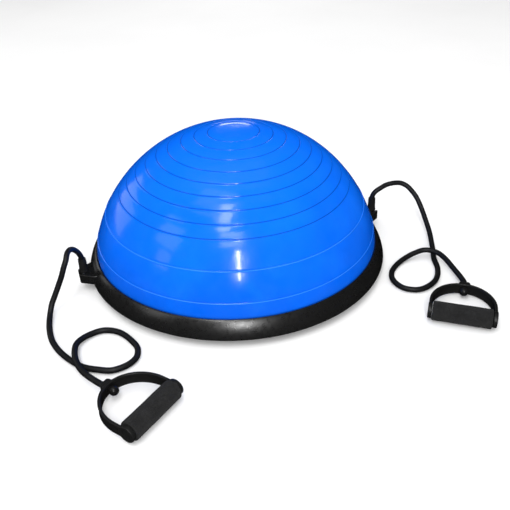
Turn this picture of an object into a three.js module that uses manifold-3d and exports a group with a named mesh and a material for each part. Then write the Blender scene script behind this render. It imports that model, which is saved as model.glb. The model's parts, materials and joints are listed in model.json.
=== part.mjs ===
// A balance dome trainer: an inflated half ball clamped to a round platform, with a resistance
// band hooked to a lug on each side. Millimetres, +Z up. The origin is at the middle of the
// platform on the floor, and the two lugs are on the X axis.
import * as THREE from 'three';
import { mergeVertices } from 'three/addons/utils/BufferGeometryUtils.js';
import Module from 'manifold-3d';

const wasm = await Module();
wasm.setup();

// ---- driving dimensions ----
const gap = 0.3; // air between two separate pieces
const turns = 56; // facets around the large round pieces
const smallTurns = 18; // facets around the small ones

const baseRadius = 300; // the clamp ring's widest radius
const domeRadius = 281.5; // where the dome comes out of the ring
const domeSpringZ = 47; // height of that line
const domeRise = 229; // crown above that line
const domeWall = 3.5;

const platformZ = 3; // the feet lift the platform's underside off the floor
const plateTopZ = 7;
const clampZ = 24; // top of the platform's walls, where the floor of the bladder sits
const membraneThickness = 1.5;
const beadRadius = 284.2; // the dome's lip inside the ring
const beadThickness = 4.5;

const lugBottomZ = 18;
const lugTopZ = 37;
const lugReach = 323;
const hookRadius = 312; // the band's hook stands in the lug at this radius

const tubeRadius = 5.25;
const slotAir = 0.95; // room beside the tube in a lug's slot
const channelAir = 0.6; // room beside the hook's ball in the channel under the slot
const sleeveAir = 0.45; // room between the tube and its sleeve
const handleBoreAir = 0.6; // room between the tube and the handle it passes through
const sleeveTopZ = 66;
const hookBallRadius = 8;
const hookBallTopZ = 24.7; // the ball sits up inside the lug
const handleBallRadius = 8.2;

const foamRadius = 17.8;
const foamHalfLength = 51;
const coreRadius = 11;
const coreBore = 7.5;
const handleDepth = 85.7; // from the strap's inner face at the apex to the grip's axis
const strapWidth = 20.5;
const strapThickness = 6;

// ---- helpers ----
const at = (x, y) => new THREE.Vector2(x, y);
const rad = THREE.MathUtils.degToRad;

// A closed geometry as a manifold solid, whichever way its faces were wound.
function solid(geometry) {
  const bare = geometry.index ? geometry.toNonIndexed() : geometry.clone();
  bare.deleteAttribute('normal');
  bare.deleteAttribute('uv');
  const merged = mergeVertices(bare, 1e-4);
  const p = merged.attributes.position;
  const index = merged.index.array;
  const faces = [];
  let volume = 0;
  const [a, b, c] = [new THREE.Vector3(), new THREE.Vector3(), new THREE.Vector3()];
  for (let i = 0; i < index.length; i += 3) {
    const [i0, i1, i2] = [index[i], index[i + 1], index[i + 2]];
    if (i0 === i1 || i1 === i2 || i0 === i2) continue;
    faces.push([i0, i1, i2]);
    a.fromBufferAttribute(p, i0);
    b.fromBufferAttribute(p, i1);
    c.fromBufferAttribute(p, i2);
    volume += a.dot(b.cross(c));
  }
  const wound = volume > 0 ? faces : faces.map(([i0, i1, i2]) => [i0, i2, i1]);
  const triVerts = new Uint32Array(wound.flat());
  const vertProperties = new Float32Array(p.array);
  return new wasm.Manifold(new wasm.Mesh({ numProp: 3, vertProperties, triVerts }));
}

function geometryOf(body) {
  const mesh = body.getMesh();
  const geometry = new THREE.BufferGeometry();
  geometry.setAttribute('position', new THREE.BufferAttribute(new Float32Array(mesh.vertProperties), 3));
  geometry.setIndex(new THREE.BufferAttribute(new Uint32Array(mesh.triVerts), 1));
  return geometry;
}

// A profile of (radius, height) points turned about +Z.
function turned(points, segments = smallTurns) {
  return solid(new THREE.LatheGeometry(points, segments).rotateX(Math.PI / 2));
}

// The same, for a profile that closes on itself away from the axis.
const turnedLoop = (points, segments) => turned([...points, points[0]], segments);

function drum(radius, z0, z1, segments = smallTurns) {
  return turned([at(0, z0), at(radius, z0), at(radius, z1), at(0, z1)], segments);
}

// An outline in the XY plane raised from z0 to z1.
function raised(shape, z0, z1, curveSegments = 8) {
  const geometry = new THREE.ExtrudeGeometry(shape, { depth: z1 - z0, bevelEnabled: false, curveSegments });
  return solid(geometry.translate(0, 0, z0));
}

const polar = (radius, degrees) => [radius * Math.cos(rad(degrees)), radius * Math.sin(rad(degrees))];

// Points along a curve f(t) for t from 0 to 1, both ends included.
const sampled = (f, steps) => Array.from({ length: steps + 1 }, (_, i) => f(i / steps));

// ---- materials ----
const finish = (color, roughness, metalness = 0) => new THREE.MeshStandardMaterial({ color, roughness, metalness });
const bluePvc = finish(0x1272ff, 0.25);
const blackPlastic = finish(0x1c1c1d, 0.5);
const blackRubber = finish(0x161616, 0.65);
const blackFoam = finish(0x2a2a2b, 0.95);
const paleValve = finish(0xe6e6e2, 0.5);
const steel = finish(0x9a9a9c, 0.35, 1);

// ---- the platform and what it clamps ----
const ribTop = clampZ;
const flangeInner = 276;
const flangeOuter = 293;
const flangeUnder = 17;
const wallOuter = 280;
const footRadius = 13;
const footCircle = 262;
const screwCircle = 287.6;
const screwHoleRadius = 2.3;
const screwHoleTopZ = 36.5;
const ringTopZ = domeSpringZ + 1;
const valveY = 140;
const valveAccessRadius = 22;

// Upright circular ribs on the plate's hidden side, as points of the plate's profile.
function circularRibs(radii, halfThickness) {
  return radii.flatMap((radius) => [
    at(radius + halfThickness, plateTopZ),
    at(radius + halfThickness, ribTop),
    at(radius - halfThickness, ribTop),
    at(radius - halfThickness, plateTopZ),
  ]);
}

function platformTray() {
  const chamfer = 1.5;
  const profile = [
    at(0, platformZ),
    at(wallOuter - chamfer, platformZ),
    at(wallOuter, platformZ + chamfer),
    at(wallOuter, flangeUnder),
    at(flangeOuter, flangeUnder),
    at(flangeOuter, clampZ),
    at(flangeInner, clampZ),
    at(flangeInner, plateTopZ),
    ...circularRibs([190], 2),
    at(0, plateTopZ),
  ];
  let tray = turned(profile, turns);
  const [ribStart, ribEnd, ribHeight] = [80, 240, 16];
  for (let i = 0; i < 8; i += 1) {
    const rib = new THREE.BoxGeometry(ribEnd - ribStart, 4, ribHeight);
    rib.translate((ribStart + ribEnd) / 2, 0, plateTopZ - 0.5 + ribHeight / 2).rotateZ(rad(22.5 + 45 * i));
    tray = tray.add(solid(rib));
  }
  for (let i = 0; i < 8; i += 1) {
    const [sx, sy] = polar(screwCircle, 22.5 + 45 * i);
    const [fx, fy] = polar(footCircle, 45 * i);
    tray = tray.subtract(drum(screwHoleRadius, flangeUnder - 1, clampZ + 1, 12).translate([sx, sy, 0]));
    tray = tray.subtract(drum(footRadius + gap, platformZ - 1, platformZ + 2).translate([fx, fy, 0]));
  }
  return tray.subtract(drum(valveAccessRadius, 0, plateTopZ + 1).translate([0, valveY, 0]));
}

// The ring's inside: a skirt round the tray, a pocket for the dome's bead, and its mouth.
function ringCavity() {
  const skirtInner = flangeOuter + gap;
  const pocket = beadRadius + gap;
  const mouth = domeRadius + gap;
  const pocketTop = clampZ + gap + membraneThickness + gap + beadThickness + gap;
  return turned([
    at(0, 0),
    at(skirtInner, 0),
    at(skirtInner, clampZ + gap),
    at(pocket, clampZ + gap),
    at(pocket, pocketTop),
    at(mouth, pocketTop),
    at(mouth, ringTopZ + 1),
    at(0, ringTopZ + 1),
  ], turns);
}

// The ring's outside: a bulging cone from the lip at the dome down to its widest line.
function ringOutside() {
  const [widestZ, bottomZ, lipRadius] = [16.5, 14, domeRadius + 2];
  const bulge = sampled((t) => {
    const angle = rad(90 * (1 - t));
    const r = lipRadius + (baseRadius - lipRadius) * Math.cos(angle) ** 1.44;
    return at(r, widestZ + (ringTopZ - widestZ) * Math.sin(angle) ** 1.48);
  }, 5);
  return turned([at(0, ringTopZ), ...bulge, at(baseRadius - 0.5, 15), at(baseRadius - 2, bottomZ), at(0, bottomZ)], turns);
}

// A lug: a thick tab that spreads into the ring, with two horns that keep the sleeve in place.
function lug() {
  const [rootX, spreadX, spreadY] = [284, 296, 28];
  const [cornerX, cornerY, corner, turn] = [lugReach - 5, 8, 5, 55];
  const shape = new THREE.Shape();
  shape.moveTo(rootX, -spreadY);
  shape.lineTo(spreadX, -spreadY);
  shape.absarc(cornerX, -cornerY, corner, rad(-turn), 0);
  shape.absarc(cornerX, cornerY, corner, 0, rad(turn));
  shape.lineTo(spreadX, spreadY);
  shape.lineTo(rootX, spreadY);
  const tab = raised(shape, lugBottomZ, lugTopZ, 4);

  const [hornX, hornY, hornRadius, hornHeight] = [hookRadius + 2, 12, 2.4, 3];
  const horn = drum(hornRadius, lugTopZ - 1, lugTopZ + hornHeight, 10);
  return tab.add(horn.translate([hornX, -hornY, 0])).add(horn.translate([hornX, hornY, 0]));
}

// The way out of a lug for a round thing of that half width: a slot open to the outside.
function wayOut(half, z0, z1) {
  const shape = new THREE.Shape();
  shape.moveTo(lugReach + 1, -half);
  shape.lineTo(hookRadius, -half);
  shape.absarc(hookRadius, 0, half, rad(-90), rad(-270), true);
  shape.lineTo(lugReach + 1, half);
  return raised(shape, z0, z1);
}

function rimRing() {
  const tubeSlot = wayOut(tubeRadius + slotAir, lugBottomZ - 1, lugTopZ + 1);
  const ballChannel = wayOut(hookBallRadius + channelAir, lugBottomZ - 1, hookBallTopZ + gap);
  const slottedLug = lug().subtract(tubeSlot).subtract(ballChannel);
  let ring = ringOutside().add(slottedLug).add(slottedLug.rotate([0, 0, 180])).subtract(ringCavity());
  for (let i = 0; i < 8; i += 1) {
    const [x, y] = polar(screwCircle, 22.5 + 45 * i);
    ring = ring.subtract(drum(screwHoleRadius, 0, screwHoleTopZ, 12).translate([x, y, 0]));
  }
  return ring;
}

// The dome's meridian: a half ellipse, a little full at the shoulder and drawn in at the crown.
function meridian(inset, steps) {
  const [shoulder, crown] = [0.938, 1.281];
  return sampled((t) => {
    const angle = rad(90 * t);
    const radius = (domeRadius - inset) * Math.max(Math.cos(angle), 0) ** shoulder;
    return at(t === 1 ? 0 : radius, domeSpringZ + (domeRise - inset) * Math.sin(angle) ** crown);
  }, steps);
}

function domeBladder() {
  const beadZ = clampZ + gap + membraneThickness + gap;
  const beadTop = beadZ + beadThickness;
  const lipInner = 262;
  const outside = meridian(0, 11);
  const inside = meridian(domeWall, 7).reverse();
  return turned([
    ...inside,
    at(domeRadius - domeWall, beadTop),
    at(lipInner, beadTop),
    at(lipInner, beadZ),
    at(beadRadius, beadZ),
    at(beadRadius, beadTop),
    at(domeRadius, beadTop),
    ...outside,
  ].reverse(), turns);
}

const valveNeck = 10;
const valveBore = 5.2;
const membraneTop = clampZ + gap + membraneThickness;

function bottomMembrane() {
  const sheet = drum(beadRadius, clampZ + gap, membraneTop, turns);
  const hole = drum(valveNeck + gap, clampZ, membraneTop + 1).translate([0, valveY, 0]);
  return sheet.subtract(hole);
}

function valveSeat() {
  const [flange, flangeTop, mouthZ] = [18, membraneTop + 2, 14];
  return turnedLoop([
    at(valveBore, mouthZ),
    at(valveNeck, mouthZ),
    at(valveNeck, membraneTop + gap),
    at(flange, membraneTop + gap),
    at(flange, flangeTop),
    at(valveBore, flangeTop),
  ]);
}

function valvePlug() {
  const [headRadius, headZ, stemTop] = [9.5, 10.7, 26.5];
  const stem = valveBore - gap;
  return turned([
    at(0, headZ),
    at(headRadius - 1, headZ),
    at(headRadius, headZ + 1),
    at(headRadius, headZ + 3),
    at(stem, headZ + 3),
    at(stem, stemTop - 2),
    at(stem - 1.5, stemTop),
    at(0, stemTop),
  ]);
}

function foot() {
  return turned([
    at(0, 0),
    at(footRadius - 1, 0),
    at(footRadius, 1),
    at(footRadius, platformZ + 2 - gap),
    at(0, platformZ + 2 - gap),
  ]);
}

function ringScrew() {
  const [shank, head, headEdge] = [2, 4.2, 3.4];
  const [headZ, rimZ, taperZ, tipZ] = [13.4, 14.6, 35, 36];
  return turned([
    at(0, headZ),
    at(headEdge, headZ),
    at(head, rimZ),
    at(head, flangeUnder - gap),
    at(shank, flangeUnder - gap),
    at(shank, taperZ),
    at(0, tipZ),
  ], 10);
}

// ---- the resistance bands ----

// A stopper: a ball with a socket on top for the tube's end.
function stopper(radius, topZ) {
  const socket = tubeRadius + gap;
  const socketDepth = 11.4;
  const centreZ = topZ - radius + 0.8;
  const mouth = Math.asin(socket / radius);
  const ball = sampled((t) => {
    const angle = t * (Math.PI - mouth - 0.35);
    return at(radius * Math.sin(angle), centreZ - radius * Math.cos(angle));
  }, 6);
  ball[0].x = 0;
  return turned([...ball, at(socket, topZ), at(socket, topZ - socketDepth), at(0, topZ - socketDepth)], 16);
}

function hookSleeve() {
  const [bore, bottom] = [tubeRadius + sleeveAir, lugTopZ + 0.5];
  const [footEdge, foot, ankle, neck, neckEdge] = [8.6, 9, 8.8, 7.5, 6.9];
  return turnedLoop([
    at(bore, bottom),
    at(footEdge, bottom),
    at(foot, bottom + 1),
    at(ankle, bottom + 6),
    at(neck, sleeveTopZ - 5),
    at(neck - 0.1, sleeveTopZ - 0.5),
    at(neckEdge, sleeveTopZ),
    at(bore, sleeveTopZ),
  ], 16);
}

function tube(route) {
  const sides = 8;
  const section = new THREE.Shape();
  for (let i = 0; i < sides; i += 1) {
    const [x, y] = polar(tubeRadius, (360 * (i + 0.5)) / sides);
    if (i === 0) section.moveTo(x, y);
    else section.lineTo(x, y);
  }
  const path = new THREE.CatmullRomCurve3(route.map((p) => new THREE.Vector3(...p)), false, 'centripetal');
  return solid(new THREE.ExtrudeGeometry(section, { steps: 76, extrudePath: path, curveSegments: 1 }));
}

// The handle is made in its own frame: X along the grip, Y from the apex of the strap to the
// grip, Z up across the strap, with the origin on the strap's inner face at the apex.
const paddleInner = foamHalfLength + 0.7;
const paddleOuter = 59.2;
const paddleRadius = 14.5;

// A piece turned about the handle's X or Y axis.
const alongX = (body) => body.rotate([0, 90, 0]);
const alongY = (body) => body.rotate([-90, 0, 0]);

// The strap's half ellipse between the two shoulders, inset from its outer face.
function strapEdge(inset) {
  const shoulderY = 62;
  return sampled((t) => {
    const angle = Math.PI * t;
    const x = (paddleOuter - inset) * Math.cos(angle);
    return at(x, shoulderY - (shoulderY + strapThickness - inset) * Math.sin(angle));
  }, 20);
}

// The D strap: the half ellipse and two straight arms down to the grip's axis.
function strap() {
  const shape = new THREE.Shape([
    ...strapEdge(0),
    at(-paddleOuter, handleDepth),
    at(-paddleInner, handleDepth),
    ...strapEdge(strapThickness).reverse(),
    at(paddleInner, handleDepth),
    at(paddleOuter, handleDepth),
  ]);
  return raised(shape, -strapWidth / 2, strapWidth / 2);
}

// The block behind the apex that the tube comes in through.
function boss() {
  const [halfWidth, backHalf, length, halfHeight] = [10.5, 8, 8, 9.5];
  const backY = -strapThickness - length;
  const shape = new THREE.Shape([
    at(-halfWidth, 1 - strapThickness),
    at(-halfWidth, -strapThickness - 3),
    at(-backHalf, backY),
    at(backHalf, backY),
    at(halfWidth, -strapThickness - 3),
    at(halfWidth, 1 - strapThickness),
  ]);
  return raised(shape, -halfHeight, halfHeight);
}

function handleYoke() {
  const [stubRadius, stubLength] = [coreBore - gap, 14];
  const paddle = alongX(drum(paddleRadius, paddleInner, paddleOuter, 20));
  const stub = alongX(drum(stubRadius, paddleInner - stubLength, paddleOuter - 1, 16));
  const end = paddle.add(stub).translate([0, handleDepth, 0]);
  const [boreStart, boreEnd] = [-30, 2]; // from behind the boss to inside the D
  const bore = alongY(drum(tubeRadius + handleBoreAir, boreStart, boreEnd, 16));
  return strap().add(end).add(end.mirror([1, 0, 0])).add(boss()).subtract(bore);
}

// The ball inside the D that keeps the tube from pulling out of the strap.
const handleStopper = () => alongY(stopper(handleBallRadius, 0).mirror([0, 0, 1]).translate([0, 0, 0.4]));

function gripCore() {
  const half = foamHalfLength + 0.3;
  return alongX(turnedLoop([at(coreBore, -half), at(coreRadius, -half), at(coreRadius, half), at(coreBore, half)]));
}

function foamGrip() {
  const [bore, half, edge] = [coreRadius + gap, foamHalfLength, 2];
  return alongX(turnedLoop([
    at(bore, -half),
    at(foamRadius - edge, -half),
    at(foamRadius, edge - half),
    at(foamRadius, half - edge),
    at(foamRadius - edge, half),
    at(bore, half),
  ]));
}

// Each band: the side of its lug, its handle, and the tube's way over the floor between them.
// A handle has its origin, its heading over the floor, and how steeply it climbs to its grip.
const bands = [
  {
    name: 'left',
    lugX: -hookRadius,
    handle: { origin: [-318.4, -321.4, 17.8], heading: -52.8, climb: 0 },
    route: [
      [-315.5, -3, 80.5], [-321, -10, 92.5], [-327, -21.5, 103], [-332, -32, 108], [-337, -43, 108],
      [-341, -51.5, 101.5], [-348, -56.5, 89], [-354.5, -59, 74.5], [-364, -60.5, 56], [-373.5, -64, 39.5],
      [-382.5, -69.5, 25], [-388.5, -79, 13], [-393, -98, 7.5], [-395, -124, 5.4], [-393, -153, 5.4],
      [-384.5, -184, 5.4], [-370.5, -213, 5.4], [-351.5, -240, 5.4], [-330.5, -255, 5.4], [-307.5, -266, 5.4],
      [-280, -262, 5.4], [-264, -249.5, 5.4], [-257.5, -227, 5.4], [-263, -203, 5.4], [-280, -171, 5.4],
      [-305, -156, 5.4], [-333, -162, 7], [-353, -182, 12], [-360, -210, 16.6], [-360, -239, 17.6],
      [-353, -267, 17.8],
    ],
  },
  {
    name: 'right',
    lugX: hookRadius,
    handle: { origin: [346.2, -301.3, 12.6], heading: -127.2, climb: 3.5 },
    route: [
      [314, 0, 73], [319.5, -1, 80.5], [331, -2, 87], [344, -1, 91], [355, -3, 93.2],
      [366.5, -5, 93.5], [377, -8, 91.8], [386.5, -15, 87], [393.5, -24, 79], [398.5, -39, 68],
      [402, -56, 50], [398, -84.5, 33], [392, -110, 21], [380, -140, 11], [374.5, -153, 7],
      [359.5, -181.5, 5.4], [347, -213.5, 5.4], [326, -242, 5.4], [302, -257, 5.4], [274, -261, 5.4],
      [251.5, -245.5, 5.4], [246, -218, 5.4], [255, -194, 5.4], [275, -174.5, 5.4], [301, -162, 8],
      [327, -158, 13], [350, -161, 16.8], [366, -178.5, 17.4], [369.5, -198, 16.6], [367.5, -229, 14.8],
    ],
  },
];

// The whole centreline: straight up out of the stopper, over the floor, and into the handle.
function centreline({ lugX, handle, route }) {
  const [across, climb] = polar(1, handle.climb);
  const [dx, dy] = polar(across, handle.heading);
  const [x, y, z] = handle.origin;
  const inHandle = (distance) => [x + dx * distance, y + dy * distance, z + climb * distance];
  const rising = [13.9, 40, 58, sleeveTopZ + 1].map((height) => [lugX, 0, height]);
  return [...rising, ...route, inHandle(-24), inHandle(-12), inHandle(0), inHandle(11.3)];
}

// ---- assembly ----
const trainer = new THREE.Group();

function place(name, body, material, parent = trainer) {
  const mesh = new THREE.Mesh(geometryOf(body), material);
  mesh.name = name;
  parent.add(mesh);
  return mesh;
}

place('platform_tray', platformTray(), blackPlastic);
place('rim_ring', rimRing(), blackPlastic);
place('dome_bladder', domeBladder(), bluePvc);
place('bottom_membrane', bottomMembrane(), blackRubber);
place('valve_seat', valveSeat(), paleValve).position.y = valveY;
place('valve_plug', valvePlug(), paleValve).position.y = valveY;

for (let i = 0; i < 8; i += 1) {
  const [fx, fy] = polar(footCircle, 45 * i);
  place(`foot_${i + 1}`, foot(), blackRubber).position.set(fx, fy, 0);
  const [sx, sy] = polar(screwCircle, 22.5 + 45 * i);
  place(`ring_screw_${i + 1}`, ringScrew(), steel).position.set(sx, sy, 0);
}

for (const band of bands) {
  const { name, lugX, handle } = band;
  place(`${name}_hook_stopper`, stopper(hookBallRadius, hookBallTopZ), blackPlastic).position.x = lugX;
  place(`${name}_hook_sleeve`, hookSleeve(), blackRubber).position.x = lugX;
  place(`${name}_tube`, tube(centreline(band)), blackRubber);

  const group = new THREE.Group();
  group.position.set(...handle.origin);
  group.rotation.set(rad(handle.climb), 0, rad(handle.heading - 90), 'ZXY');
  trainer.add(group);
  place(`${name}_handle_stopper`, handleStopper(), blackPlastic, group);
  place(`${name}_handle_yoke`, handleYoke(), blackPlastic, group);
  place(`${name}_grip_core`, gripCore(), blackPlastic, group).position.y = handleDepth;
  place(`${name}_foam_grip`, foamGrip(), blackFoam, group).position.y = handleDepth;
}

export default trainer;
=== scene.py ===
"""The looks of a balance dome trainer: an inflated dome on a round platform, with two bands.

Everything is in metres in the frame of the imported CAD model: +Z up, the origin at the middle of
the platform on the floor, and a lug at each end of the X axis.
"""

import json
import math

import bmesh
import bpy
from mathutils import Matrix, Quaternion, Vector, noise

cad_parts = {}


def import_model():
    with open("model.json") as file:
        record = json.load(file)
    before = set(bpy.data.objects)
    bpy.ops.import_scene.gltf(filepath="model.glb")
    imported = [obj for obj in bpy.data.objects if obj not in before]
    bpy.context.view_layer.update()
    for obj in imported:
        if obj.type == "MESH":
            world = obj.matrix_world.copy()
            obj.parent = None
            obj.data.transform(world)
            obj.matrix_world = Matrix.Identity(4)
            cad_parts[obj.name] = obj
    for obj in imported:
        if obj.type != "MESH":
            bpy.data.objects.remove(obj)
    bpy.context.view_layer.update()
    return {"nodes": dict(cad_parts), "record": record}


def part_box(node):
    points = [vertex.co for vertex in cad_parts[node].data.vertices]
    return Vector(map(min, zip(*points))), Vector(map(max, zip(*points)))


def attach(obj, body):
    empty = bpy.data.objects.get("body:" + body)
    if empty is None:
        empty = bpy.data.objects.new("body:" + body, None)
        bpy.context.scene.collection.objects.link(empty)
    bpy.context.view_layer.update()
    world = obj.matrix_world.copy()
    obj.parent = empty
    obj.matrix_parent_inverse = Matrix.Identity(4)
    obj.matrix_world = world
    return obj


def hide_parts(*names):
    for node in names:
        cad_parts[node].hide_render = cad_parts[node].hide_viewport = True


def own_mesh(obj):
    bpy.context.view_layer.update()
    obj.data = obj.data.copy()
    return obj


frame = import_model()
joints = {joint["name"]: joint for joint in frame["record"]["behaviour"]["joints"]}

TAU = 2 * math.pi
UP = Vector((0, 0, 1))
MM = 0.001


# ---- dimensions, taken from the frame ----

ring_low, ring_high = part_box("rim_ring")
dome_low, dome_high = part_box("dome_bladder")
tray_low, tray_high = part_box("platform_tray")

BASE_RADIUS = ring_high.y
BEAD_RADIUS = dome_high.y
DOME_RADIUS = BEAD_RADIUS - 2.7 * MM
LIP_Z = ring_high.z
RING_FOOT_Z = ring_low.z
SPRING_Z = LIP_Z - 1 * MM
CROWN_Z = dome_high.z
DOME_RISE = CROWN_Z - SPRING_Z
FLANGE_RADIUS = tray_high.y
CLAMP_Z = tray_high.z
PLATE_Z = tray_low.z
BEAD_Z = dome_low.z
BEAD_TOP_Z = BEAD_Z + 4.5 * MM
BEAD_INNER_RADIUS = 262 * MM

HOOK_RADIUS = sum(p.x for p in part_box("right_hook_sleeve")) / 2
LUG_REACH = ring_high.x
LUG_BOTTOM_Z = 18 * MM
LUG_TOP_Z = 37 * MM

TUBE_RADIUS = 5.25 * MM
HOOK_BALL_RADIUS = 8 * MM
HANDLE_BALL_RADIUS = 8.2 * MM
FOAM_RADIUS = 17.8 * MM
FOAM_HALF_LENGTH = 51 * MM
HANDLE_DEPTH = math.dist(joints["left_handle_twist"]["pos_m"], joints["left_grip_spin"]["pos_m"])
STRAP_THICKNESS = 6 * MM
STRAP_HALF_WIDTH = 10.25 * MM


# ---- the two bands ----
# The tube's way over the floor between its sleeve and its handle, the same points as in the CAD.

LEFT_ROUTE = [
    (-0.3155, -0.003, 0.0805), (-0.321, -0.010, 0.0925), (-0.327, -0.0215, 0.103),
    (-0.332, -0.032, 0.108), (-0.337, -0.043, 0.108), (-0.341, -0.0515, 0.1015),
    (-0.348, -0.0565, 0.089), (-0.3545, -0.059, 0.0745), (-0.364, -0.0605, 0.056),
    (-0.3735, -0.064, 0.0395), (-0.3825, -0.0695, 0.025), (-0.3885, -0.079, 0.013),
    (-0.393, -0.098, 0.0075), (-0.395, -0.124, 0.0054), (-0.393, -0.153, 0.0054),
    (-0.3845, -0.184, 0.0054), (-0.3705, -0.213, 0.0054), (-0.3515, -0.240, 0.0054),
    (-0.3305, -0.255, 0.0054), (-0.3075, -0.266, 0.0054), (-0.280, -0.262, 0.0054),
    (-0.264, -0.2495, 0.0054), (-0.2575, -0.227, 0.0054), (-0.263, -0.203, 0.0054),
    (-0.280, -0.171, 0.0054), (-0.305, -0.156, 0.0054), (-0.333, -0.162, 0.007),
    (-0.353, -0.182, 0.012), (-0.360, -0.210, 0.0166), (-0.360, -0.239, 0.0176),
    (-0.353, -0.267, 0.0178),
]
RIGHT_ROUTE = [
    (0.314, 0.000, 0.073), (0.3195, -0.001, 0.0805), (0.331, -0.002, 0.087),
    (0.344, -0.001, 0.091), (0.355, -0.003, 0.0932), (0.3665, -0.005, 0.0935),
    (0.377, -0.008, 0.0918), (0.3865, -0.015, 0.087), (0.3935, -0.024, 0.079),
    (0.3985, -0.039, 0.068), (0.402, -0.056, 0.050), (0.398, -0.0845, 0.033),
    (0.392, -0.110, 0.021), (0.380, -0.140, 0.011), (0.3745, -0.153, 0.007),
    (0.3595, -0.1815, 0.0054), (0.347, -0.2135, 0.0054), (0.326, -0.242, 0.0054),
    (0.302, -0.257, 0.0054), (0.274, -0.261, 0.0054), (0.2515, -0.2455, 0.0054),
    (0.246, -0.218, 0.0054), (0.255, -0.194, 0.0054), (0.275, -0.1745, 0.0054),
    (0.301, -0.162, 0.008), (0.327, -0.158, 0.013), (0.350, -0.161, 0.0168),
    (0.366, -0.1785, 0.0174), (0.3695, -0.198, 0.0166), (0.3675, -0.229, 0.0148),
]


def make_band(name, lug_x, route):
    """A band: where its lug and its handle are, and which way the handle points."""
    twist = joints[f"{name}_handle_twist"]
    apex, heading = Vector(twist["pos_m"]), Vector(twist["axis"])
    return {"name": name, "lug_x": lug_x, "apex": apex, "heading": heading, "route": route}


BANDS = [make_band("left", -HOOK_RADIUS, LEFT_ROUTE), make_band("right", HOOK_RADIUS, RIGHT_ROUTE)]


# ---- camera ----

def direction(azimuth, elevation):
    """A unit vector at these angles in degrees, azimuth from +X towards +Y."""
    a, e = math.radians(azimuth), math.radians(elevation)
    return Vector((math.cos(a) * math.cos(e), math.sin(a) * math.cos(e), math.sin(e)))


def make_camera():
    """The view that the object is shown in."""
    target = Vector((0.0172, -0.0643, 0.03))
    away = direction(-108.81, 32.89)
    roll = math.radians(-2.13)
    camera = bpy.data.objects.new("camera", bpy.data.cameras.new("camera"))
    bpy.context.scene.collection.objects.link(camera)
    camera.data.lens = 46.86
    camera.location = target + 1.33 * away
    camera.rotation_mode = "QUATERNION"
    camera.rotation_quaternion = (-away).to_track_quat("-Z", "Y") @ Quaternion(UP, roll)
    bpy.context.scene.camera = camera


make_camera()


# ---- mesh helpers ----

def polar(radius, degrees):
    """The (x, y) of a point at this radius and angle."""
    return radius * math.cos(math.radians(degrees)), radius * math.sin(math.radians(degrees))


def sampled(curve, steps):
    """Points of curve(t) for t from 0 to 1, both ends included."""
    return [curve(i / steps) for i in range(steps + 1)]


def new_piece(name, vertices, faces, sharp=35):
    """A smooth-shaded mesh object whose edges over `sharp` degrees stay crisp."""
    mesh = bpy.data.meshes.new(name)
    mesh.from_pydata(vertices, [], faces)
    tidy = bmesh.new()
    tidy.from_mesh(mesh)
    bmesh.ops.remove_doubles(tidy, verts=tidy.verts, dist=1e-6)
    bmesh.ops.recalc_face_normals(tidy, faces=tidy.faces)
    tidy.to_mesh(mesh)
    tidy.free()
    mesh.shade_smooth()
    mesh.set_sharp_from_angle(angle=math.radians(sharp))
    piece = bpy.data.objects.new(name, mesh)
    bpy.context.scene.collection.objects.link(piece)
    return piece


def grid_faces(rows, columns, rows_close=False):
    """Quads over rows of points that each close on themselves."""
    faces = []
    for i in range(rows if rows_close else rows - 1):
        for j in range(columns):
            a, b = i * columns, (i + 1) % rows * columns
            k = (j + 1) % columns
            faces.append((a + j, a + k, b + k, b + j))
    return faces


def lathe(name, profile, segments=48, loop=False, sharp=35):
    """A profile of (radius, height) points turned about +Z. A loop closes on itself."""
    vertices = []
    for radius, height in profile:
        for j in range(segments):
            x, y = polar(radius, 360 * j / segments)
            vertices.append((x, y, height))
    faces = grid_faces(len(profile), segments, rows_close=loop)
    return new_piece(name, vertices, faces, sharp)


def settle(piece):
    """Applies the piece's modifiers to its mesh."""
    bpy.context.view_layer.update()
    evaluated = piece.evaluated_get(bpy.context.evaluated_depsgraph_get())
    mesh = bpy.data.meshes.new_from_object(evaluated)
    piece.modifiers.clear()
    piece.data = mesh
    return piece


def joined(name, pieces):
    """One piece made of several closed ones."""
    whole = bmesh.new()
    for piece in pieces:
        piece.data.transform(piece.matrix_world)
        whole.from_mesh(piece.data)
        bpy.data.objects.remove(piece)
    mesh = bpy.data.meshes.new(name)
    whole.to_mesh(mesh)
    whole.free()
    piece = bpy.data.objects.new(name, mesh)
    bpy.context.scene.collection.objects.link(piece)
    return piece


def cut(piece, tools):
    """Takes the tools' volumes out of the piece."""
    for tool in tools:
        carve = piece.modifiers.new("cut", "BOOLEAN")
        carve.object = tool
        carve.solver = "EXACT"
    settle(piece)
    for tool in tools:
        bpy.data.objects.remove(tool)
    return piece


def round_edges(piece, width, over=40):
    """Rounds over the piece's edges that turn by more than `over` degrees."""
    bevel = piece.modifiers.new("edges", "BEVEL")
    bevel.width = width
    bevel.segments = 4
    bevel.limit_method = "ANGLE"
    bevel.angle_limit = math.radians(over)
    return settle(piece)


def prism(name, outline, z0, z1):
    """An outline in the XY plane raised from z0 to z1."""
    n = len(outline)
    vertices = [(x, y, z) for z in (z0, z1) for x, y in outline]
    faces = [tuple(range(n)), tuple(range(n, 2 * n))]
    faces += [(i, (i + 1) % n, n + (i + 1) % n, n + i) for i in range(n)]
    return new_piece(name, vertices, faces)


def drum(radius, z0, z1, segments=48):
    """A plain cylinder about +Z, used to cut holes."""
    return lathe("drum", [(0, z0), (radius, z0), (radius, z1), (0, z1)], segments)


def moved(piece, matrix):
    piece.data.transform(matrix)
    return piece


def shifted(piece, x=0, y=0, z=0):
    return moved(piece, Matrix.Translation((x, y, z)))


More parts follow.
